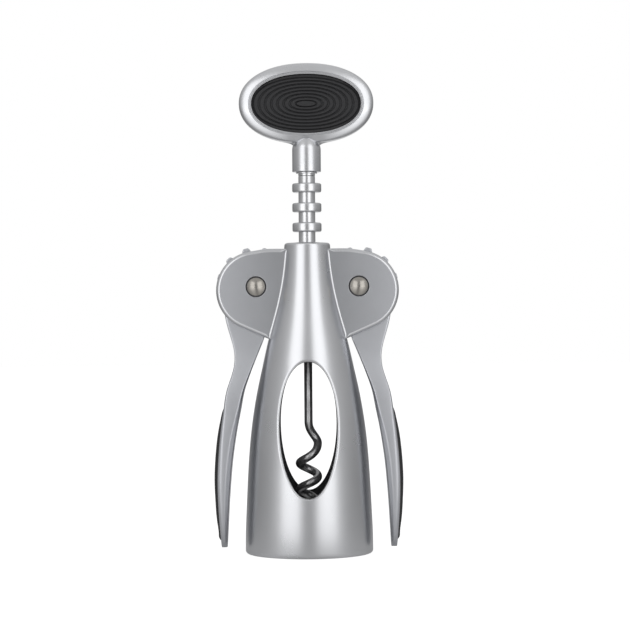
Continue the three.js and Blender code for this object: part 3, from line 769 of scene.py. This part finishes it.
def clipRings():
    # a rounded flat section (radius, height) carried round an open ring
    top = lowWasherBottom - clip["gap"]
    low = top - clip["thickness"]
    hole, radius = clip["hole"], clip["radius"]
    section = rounded([(hole, low), (radius, low), (radius, top), (hole, top)], clip["rounding"], 4)
    angle = np.radians(np.linspace(clip["mouth"] / 2, 360 - clip["mouth"] / 2, 60))[:, None]
    return joined(section[:, 0] * np.cos(angle), section[:, 0] * np.sin(angle), section[:, 1])


makePiece("retaining_clip_sprung", [grid(capped(clipRings()), ring=True)], "handle",
          ["retaining_clip"], [brightFinish])

worm = {
    "wire": 1.58, "helix": 3.5, "length": 33.5, "turns": 2.45, "tip": 17.3, "point": 6, "pointShare": 0.12,
    "top": 157.87, "facets": 28, "steps": 300, "shankSteps": 30,
    "pace": [(0, 0), (0.102, 0.263), (0.306, 0.493), (0.51, 0.645), (0.714, 0.791), (0.918, 0.937), (1, 1)],
}


def wormRings():
    # the wire's centre line runs down the axis, then turns right-handed while it opens from the axis to the
    # helix; a circle is carried along it, square to it, and gets smaller to the point
    bend = worm["tip"] + worm["length"]
    share = np.linspace(0, 1, worm["steps"])
    way = np.clip(share / worm["pace"][1][0], 0, 1)
    radius = worm["helix"] * way * way * (3 - 2 * way)
    angle = 2 * np.pi * worm["turns"] * share - np.pi / 2
    height = bend - worm["length"] * smoothTable(worm["pace"], share)[0]
    helix = joined(radius * np.cos(angle), -radius * np.sin(angle), height)
    shank = joined(0, 0, np.linspace(worm["top"], bend, worm["shankSteps"] + 1)[:-1])
    line = np.concatenate([shank, helix])
    along = unit(np.gradient(line, axis=0))
    first = unit(np.array([1, 0, 0]) - along[:, :1] * along)
    second = np.cross(along, first)
    part = np.clip(1 - (line[:, 2] - worm["tip"]) / worm["point"], 0, 1)
    size = worm["wire"] * (1 - (1 - worm["pointShare"]) * part ** 2)
    facet = fullTurn(worm["facets"])[:, None]
    return line[:, None] + size[:, None, None] * (
        np.cos(facet) * first[:, None] + np.sin(facet) * second[:, None])


makePiece("worm_wire", [grid(capped(wormRings()), ring=True)], "handle", ["worm"], [darkWire])


# handle

handle = {
    "halfWidth": 25.8, "halfHeight": 15.4, "halfDepth": 4.9, "fullness": 2.14, "facets": 240,
    "pocketWidth": 21, "pocketHeight": 11.3, "pocketFloor": 1.5, "pocketDrop": 0.35,
    "lip": 0.7, "lipDepth": 4.75, "groove": 0.36, "grooveDepth": 4.6, "grooveSide": 0.15,
    "crest": 0.4, "crestDrop": 0.08, "stepRoundings": [0, 0.12, 0.06, 0.06, 0.06, 0.1, 0], "beadWidth": 3.6,
    "saddle": 0.28, "saddleWidth": 5, "saddleTop": 2.9, "saddlePower": 0.7,
    "collarLength": 10.9, "collarRadius": 5.5, "collarRounding": 0.35, "collarFoot": 4,
    "bore": 1.8, "boreDepth": 3, "boreRounding": 0.1,
    "bead": [
        (0, 1), (0.1, 0.982), (0.236, 0.951), (0.4, 0.907), (0.55, 0.859), (0.7, 0.8), (0.8, 0.747),
        (0.88, 0.682), (0.94, 0.598), (0.98, 0.48), (1, 0.3), (1, 0),
    ],
    "dome": [
        (5.5, -2.4), (5.42, -1.5), (5.28, -0.9), (5.1, -0.4), (4.9, 0.1), (4.69, 0.6), (4.46, 1.1),
        (4.2, 1.6), (3.88, 2.1), (3.5, 2.5), (2.8, 2.9), (0, 3.3),
    ],
    "web": [
        (0, 1), (0.083, 1.03), (0.167, 1.1), (0.29, 1.27), (0.417, 1.48), (0.54, 1.67), (0.71, 1.9), (1, 2.1),
    ],
    "webDepth": [(0, 3), (0.25, 3.4), (0.5, 3.6), (0.75, 3.4), (1, 3)],
    "webFullness": [(0, 2.6), (0.2, 1.8), (0.4, 1.4), (1, 1.2)], "webRise": 2.4, "webDrop": 0.5,
}
rimBottom = collarBottom + handle["collarLength"]
handleZ = rimBottom + handle["halfHeight"]


def ovalRings(rows, facets):
    # each row (half width, half height, y, drop) is an oval about a point that lies the drop below the middle
    width, height, y, drop = np.asarray(rows, float).T[..., None]
    x, z = oval(width, height, handle["fullness"], fullTurn(facets))
    return joined(x, y, handleZ + z - drop)


def rimGrid():
    # ovals from the pocket's floor over its lip, the groove and the crest, then along the bead to the
    # outside; the back is the mirror image
    pocket = np.array([handle["pocketWidth"], handle["pocketHeight"]])
    outer = np.array([handle["halfWidth"], handle["halfHeight"]])
    crest, drop, floor = handle["halfDepth"], handle["pocketDrop"], handle["pocketFloor"]
    lip, lipDepth, groove = handle["lip"], handle["lipDepth"], handle["grooveDepth"]
    side = handle["groove"] * handle["grooveSide"]
    inner = lip + handle["groove"]
    step = [(0, floor), (0, lipDepth), (lip, lipDepth), (lip + side, groove), (inner - side, groove),
            (inner, crest), (inner + handle["crest"], crest - handle["crestDrop"])]
    step = rounded(step, handle["stepRoundings"], 6)[6:-6]
    bead = smoothLine(handle["bead"], 46, [handle["beadWidth"], crest])[3:]  # its first rows lie on the crest
    start = pocket + inner
    rows = [(0, 0, floor, drop), (*pocket, floor, drop)]
    rows += [(*(pocket + out), y, drop) for out, y in step]
    rows += [(*(start + (outer - start) * share), crest * y, drop * (1 - share)) for share, y in bead]
    rows = np.array(rows)
    rings = ovalRings(np.concatenate([rows, rows[-2::-1] * np.array([1, 1, -1, 1])]), handle["facets"])
    # the front sinks in above the collar: most at the lower edge and the middle, by a bell curve across
    rise = np.clip(1 - (rings[..., 2] - rimBottom) / handle["saddleTop"], 0, 1) ** handle["saddlePower"]
    rings[..., 1] *= 1 - handle["saddle"] * rise * np.exp(-(rings[..., 0] / handle["saddleWidth"]) ** 2)
    return grid(rings, ring=True)


def collarGrid():
    # a cylinder with a hole for the shank below, which the dome's curve closes above, inside the rim
    low, radius, bore = collarBottom, handle["collarRadius"], handle["bore"]
    dome = smoothLine(handle["dome"], 40) + np.array([0, rimBottom])
    dome[-1, 0] = 0
    hole = low + handle["boreDepth"]
    foot = rounded([(bore, hole), (bore, low), (radius, low), (radius, low + handle["collarFoot"])],
                   [0, handle["boreRounding"], handle["collarRounding"], 0], 6)
    return grid(turned(np.concatenate([[(0, hole)], foot, dome]), 72), ring=True)


def webGrid():
    # its half width opens from the collar's to the rim's, and its section thins towards its tips
    level = np.linspace(0, 1, 30)
    width, depth, fullness = [
        smoothTable(handle[name], level).T for name in ("web", "webDepth", "webFullness")]
    x, y = oval(handle["collarRadius"] * width, depth, fullness, fullTurn(80))
    z = rimBottom - handle["webDrop"] + handle["webRise"] * level[:, None]
    return grid(capped(joined(x, y, z)), ring=True)


makePiece("handle_casting", [rimGrid(), collarGrid(), webGrid()], "handle", ["handle_frame"],
          [satinFinish])

inset = {
    "width": 20.95, "height": 11.25, "base": 1.8, "top": 4.05, "rows": 147, "facets": 160,
    "first": (3.84, 1.15), "last": (20.4, 10), "grooves": 8, "grooveDepth": 0.5, "grooveShare": 0.3,
    "centre": [(0, 0), (0.5, 0), (0.7, 0), (0.85, 0), (0.93, 0.15)],
    "edge": [(0.3, 0.9, 0.05), (0.08, 0.2, 0.1), (0, 0, 0.35)],
}


def insetGrid():
    # out from the first oval to the last the height drops into a round groove at every step
    way = np.linspace(0, 1, inset["rows"])
    phase = np.abs((way * (inset["grooves"] - 1) + 0.5) % 1 - 0.5) / inset["grooveShare"]
    depth = inset["top"] - inset["grooveDepth"] * np.where(phase < 1, np.cos(phase * np.pi / 2) ** 2, 0)
    first, last = np.array(inset["first"]), np.array(inset["last"])
    size = first + (last - first) * way[:, None]
    rows = [(*(share * first), inset["top"] - sink) for share, sink in inset["centre"]]
    rows += np.column_stack([size, depth]).tolist()
    rows += [(inset["width"] - x, inset["height"] - z, inset["top"] - sink) for x, z, sink in inset["edge"]]
    rows += [(inset["width"], inset["height"], inset["base"]), (0, 0, inset["base"])]
    return grid(ovalRings([(*row, handle["pocketDrop"]) for row in rows], inset["facets"]), ring=True)


for name, face in (("front", -1), ("back", 1)):
    makePiece("rubber_inset_" + name, [flipped(insetGrid(), 1, face)], "handle",
              ["handle_inset_" + name], [blackRubber], crease=60)


# levers

lever = {
    "drop": 99.66, "reach": 16.5, "half": 7.4, "rows": 120, "lastRow": 0.96, "tipRows": 22, "tipFrom": 0.962,
    "headHalf": 2.25, "edge": 0.28, "hole": 2.4,
    "teeth": 7, "teethPerTurn": 12, "tip": 15.15, "root": 13.298, "toothHalf": 1.5475, "plainFrom": 0.75,
    "tooth": [
        (0, 1.14), (0.25, 1.07), (0.45, 1), (0.65, 0.9), (0.85, 0.76), (0.95, 0.62), (1, 0.42), (1.01, 0.14),
    ],
    "outer": [(0.03, 0.76), (0.09, 0.655), (0.137, 0.6), (0.183, 0.52), (0.225, 0.44)],
    "inner": [(0.225, -0.1), (0.206, -0.155), (0.181, -0.193), (0.146, -0.23)],
    "arm": [
        (0.085, 0.754, -0.22, 0.311, 0.04, 0.96), (0.137, 0.697, -0.22, 0.311, 0.04, 0.96),
        (0.183, 0.62, -0.2, 0.312, 0.04, 0.96), (0.201, 0.588, -0.169, 0.315, 0.04, 0.96),
        (0.231, 0.54, -0.096, 0.33, 0.04, 0.96), (0.262, 0.513, -0.018, 0.37, 0.04, 0.96),
        (0.302, 0.525, 0.079, 0.47, 0.04, 0.95), (0.342, 0.588, 0.17, 0.62, 0.045, 0.93),
        (0.402, 0.704, 0.292, 0.81, 0.05, 0.9), (0.462, 0.764, 0.364, 0.92, 0.08, 0.85),
        (0.529, 0.82, 0.446, 0.973, 0.13, 0.77), (0.603, 0.871, 0.522, 1, 0.18, 0.7),
        (0.673, 0.902, 0.579, 1, 0.22, 0.65), (0.743, 0.918, 0.619, 0.987, 0.24, 0.63),
        (0.823, 0.91, 0.655, 0.946, 0.25, 0.62), (0.904, 0.883, 0.683, 0.865, 0.28, 0.63),
        (0.964, 0.856, 0.702, 0.74, 0.3, 0.64), (0.99, 0.845, 0.709, 0.52, 0.32, 0.65),
        (1, 0.84, 0.712, 0.3, 0.34, 0.66),
    ],
    "outerWidth": 0.91, "crownStep": 0.5, "crownWidth": 0.9, "crestWidth": 0.8,
    "roundings": [0.35, 0.5, 0.7, 0.6, 0.7],
}


def armRow(drop):
    # outer and inner edge in millimetres from the axis, half width, and the two shares of the section
    outer, inner, half, bevel, crown = smoothTable(lever["arm"], drop)
    reach = lever["reach"]
    return pin["x"] + reach * outer, pin["x"] + reach * inner, lever["half"] * half, bevel, crown


def armGrid():
    # a flat outer face, a bevel, a flat side and a crowned inner face, carried down the arm and rounded
    drop = np.concatenate([np.linspace(lever["arm"][0][0], lever["lastRow"], lever["rows"]),
                           np.linspace(lever["tipFrom"], 1, lever["tipRows"])])
    outer, inner, half, bevel, crown = armRow(drop)
    depth = joined(0, bevel, crown, crown + (1 - crown) * lever["crownStep"], 1)
    width = np.array([lever["outerWidth"], 1, 1, lever["crownWidth"], lever["crestWidth"]])
    x = outer[:, None] - (outer - inner)[:, None] * depth
    y = -half[:, None] * width
    x, y = np.concatenate([x, x[:, ::-1]], axis=1), np.concatenate([y, -y[:, ::-1]], axis=1)
    section = joined(x, y, pin["z"] - lever["drop"] * drop[:, None])
    return grid(capped(rounded(section, lever["roundings"] + lever["roundings"][::-1], 5)), ring=True)


def headOutline():
    # teeth over the inner and upper side, then the shoulder, the neck above the arm and the plain root circle
    step = 2 * np.pi / lever["teethPerTurn"]
    first = np.pi + step / 2
    rise, width = np.array(lever["tooth"]).T
    radius = lever["root"] + (lever["tip"] - lever["root"]) * rise
    radius = np.concatenate([radius, radius[::-1]])
    across = lever["toothHalf"] * np.concatenate([-width, width[::-1]])
    angle = (first - step * np.arange(lever["teeth"]))[:, None]
    teeth = joined(radius * np.cos(angle) + across * np.sin(angle),
                   radius * np.sin(angle) - across * np.cos(angle)).reshape(-1, 2)
    drop, out = np.array(lever["outer"] + lever["inner"]).T
    sides = joined(lever["reach"] * out, -lever["drop"] * drop)
    last = np.degrees(first + step * lever["plainFrom"])
    plain = arcPoints((0, 0), lever["root"], last + np.degrees(step), last, 8)
    return np.concatenate([teeth, sides, plain]) + pinPoint


def headGrid():
    # rows of (share from the hole to the outline, way inward from it, y) over both faces and their edges
    outline = headOutline()
    half, edge = lever["headHalf"], lever["edge"]
    rows = [(0, 0, half), (0.5, 0, half), (0.97, edge, half)]
    rows += [(1, inward, half - drop) for inward, drop in quarterRound(edge)]
    rows = [(share, inward, -y) for share, inward, y in rows] + rows[::-1]
    share, inward, y = np.array(rows).T[..., None, None]
    hole = pinCircle(lever["hole"], outline)
    flat = hole + (outline - outwardNormals(outline) * inward - hole) * share
    return grid(atDepth(flat, y[..., 0]), ring=True, loop=True)


pad = {
    "rows": 100, "width": 0.7, "proud": 1.4, "sunk": 0.5, "fullness": 2.6, "first": 0.462, "last": 0.976,
    "ends": 0.022,
    "rise": [
        (0.462, 0.0), (0.475, 0.3), (0.5, 0.52), (0.54, 0.74), (0.603, 0.92), (0.673, 1), (0.743, 1),
        (0.823, 0.9), (0.904, 0.76), (0.95, 0.62), (0.968, 0.45), (0.976, 0.0),
    ],
}


def padGrid():
    # a crowned strip along the arm's outer face: across it the height follows a full oval
    length = pad["last"] - pad["first"]
    drop = pad["first"] + length * (1 - np.cos(np.linspace(0, np.pi, pad["rows"]))) / 2
    rise = np.maximum(smoothTable(pad["rise"], drop)[0], 0)
    outer, _, half, _, _ = armRow(drop)
    ends = np.clip(np.minimum(drop - pad["first"], pad["last"] - drop) / pad["ends"], 0, 1)
    half = half * pad["width"] * leg(1, 1 - ends)
    across, high = oval(1.0, 1.0, pad["fullness"], np.linspace(0, np.pi, 25))
    y = half[:, None] * across
    x = outer[:, None] + pad["proud"] * rise[:, None] * np.abs(high)
    base = outer - pad["sunk"]
    x = np.concatenate([x, joined(base, base)], axis=1)
    y = np.concatenate([y, y[:, -1:], y[:, :1]], axis=1)
    return grid(capped(joined(x, y, pin["z"] - lever["drop"] * drop[:, None])), ring=True)


for name, side in (("left", -1), ("right", 1)):
    arm, head, grip = [flipped(part, side) for part in (armGrid(), headGrid(), padGrid())]
    makePiece("lever_casting_" + name, [arm, head], "lever_" + name, ["lever_" + name],
              [matteFinish])
    makePiece("soft_pad_" + name, [grip], "lever_" + name, ["grip_pad_" + name],
              [blackRubber], crease=60)


# floor, light and camera

studio = {
    "camera": (2.8, -806.4, 91.1), "roll": 0.45, "lens": 120, "sensor": 36,  # camera's place in millimetres
    "boxDistance": 1.15, "boxTurn": 33, "boxWidth": 0.76, "boxHeight": 1.8, "boxLevel": 1.07, "boxRise": 0.25,
    "floorSize": 6, "floorLift": -0.0001, "floorColour": (0.4, 0.4, 0.4, 1), "floorSeen": 0.86,
    # the table tone and its reach are painted shade: the dim tone the floor shows in reflections near the
    # object
    "ceiling": 0.72, "table": 0.2, "paintedShadeReach": 0.3,
    "room": [
        (0, 0.31), (0.03, 0.31), (0.08, 0.5), (0.26, 0.5), (0.3, 0.78), (0.34, 0.66), (0.39, 0.52),
        (0.45, 0.43), (0.55, 0.38), (0.7, 0.33), (0.78, 0.2), (0.9, 0.2), (0.96, 0.9), (1, 0.9),
    ],
    # painted pools of light, which the floor shows in reflections by the turn from the front
    "paintedPools": [
        (0, 0.04), (0.04, 0.08), (0.08, 0.6), (0.12, 1.1), (0.2, 1.2), (0.26, 0.85), (0.34, 0.3),
        (0.4, 0.12), (0.5, 0.03), (0.7, 0), (0.9, 0), (0.96, 0.6), (1, 0.6),
    ],
}


def turnFromFront(finish, place):
    # the angle round Z from the front, the same to both sides, as a share of half a turn
    across = finish.node("ShaderNodeSeparateXYZ", None, {0: place}, "X")
    return finish.maths("ARCTAN2", finish.maths("ABSOLUTE", across, 0), 0 - across.sibling("Y")) * (1 / np.pi)


def floorFinish():
    # white to the camera; in reflections, painted pools of light by the turn from the front and painted shade
    # near the object
    finish = newFinish("paleFloor")
    seen = finish.node("ShaderNodeLightPath", output="Is Camera Ray")
    mirrored = seen.sibling("Is Glossy Ray") + seen.sibling("Is Transmission Ray")
    place = finish.place()
    # painted pools of light and painted shade near the object, seen only in reflections
    paintedPools = finish.node("ShaderNodeValToRGB", {"stops": studio["paintedPools"]}, {0: turnFromFront(finish, place)})
    away = finish.node("ShaderNodeVectorMath", {"operation": "LENGTH"}, {0: place}, 1)
    # painted shade: near the object the mirrored glow is pulled to the table's dim tone
    near = finish.maths("MAXIMUM", 1 - away * (1 / studio["paintedShadeReach"]), 0)
    shown = studio["floorSeen"] * seen + (paintedPools + near * (studio["table"] - paintedPools)) * mirrored
    plain = finish.node("ShaderNodeBsdfDiffuse", None, {"Color": studio["floorColour"]})
    glow = finish.node("ShaderNodeEmission", None, {"Color": (1, 1, 1, 1), "Strength": shown})
    both = finish.node("ShaderNodeAddShader", None, {0: plain, 1: glow})
    finish.node("ShaderNodeOutputMaterial", None, {"Surface": both})
    return finish.owner


def makeFloor():
    half, z = studio["floorSize"] / 2, studio["floorLift"]
    corners = [(-half, -half, z), (half, -half, z), (half, half, z), (-half, half, z)]
    mesh = bpy.data.meshes.new("floor")
    mesh.from_pydata(corners, [], [(0, 1, 2, 3)])
    mesh.materials.append(floorFinish())
    newObject("floor", mesh)


def makeRoom():
    # the tone follows the turn from the front and evens out upwards; the camera sees white
    world = bpy.data.worlds.new("room")
    bpy.context.scene.world = world
    finish = Finish(world)
    direction = finish.node("ShaderNodeTexCoord", output="Generated")
    above = finish.maths("MAXIMUM", finish.node("ShaderNodeSeparateXYZ", None, {0: direction}, "Z"), 0)
    tone = finish.node("ShaderNodeValToRGB", {"stops": studio["room"]}, {0: turnFromFront(finish, direction)})
    path = finish.node("ShaderNodeLightPath", output="Is Camera Ray")
    light = tone + above * (studio["ceiling"] - tone)
    room = finish.node("ShaderNodeBackground", None, {"Color": (1, 1, 1, 1), "Strength": light})
    white = finish.node("ShaderNodeBackground", None, {"Color": (1, 1, 1, 1), "Strength": 1.0})
    both = finish.node("ShaderNodeMixShader", None, {0: path, 1: room, 2: white})
    finish.node("ShaderNodeOutputWorld", None, {"Surface": both})


def makeBox(name, side):
    lamp = bpy.data.lights.new(name, "AREA")
    lamp.shape = "RECTANGLE"
    lamp.size, lamp.size_y = studio["boxWidth"], studio["boxHeight"]
    lamp.energy = studio["boxLevel"] * np.pi * lamp.size * lamp.size_y
    box = newObject(name, lamp)
    turn = np.radians(studio["boxTurn"]) * side
    reach = studio["boxDistance"]
    box.location = (reach * np.sin(turn), -reach * np.cos(turn), studio["boxRise"])
    box.rotation_euler = (np.pi / 2, 0, turn)
    box.visible_camera = False


def makeCamera():
    lens = bpy.data.cameras.new("camera")
    lens.lens, lens.sensor_width = studio["lens"], studio["sensor"]
    camera = newObject("camera", lens)
    camera.location = np.array(studio["camera"]) * mm
    camera.rotation_euler = (np.pi / 2, np.radians(studio["roll"]), 0)
    bpy.context.scene.camera = camera


makeFloor()
makeRoom()
makeBox("boxLeft", -1)
makeBox("boxRight", 1)
makeCamera()
bpy.context.scene.view_settings.view_transform = "Standard"
print("studio ready")
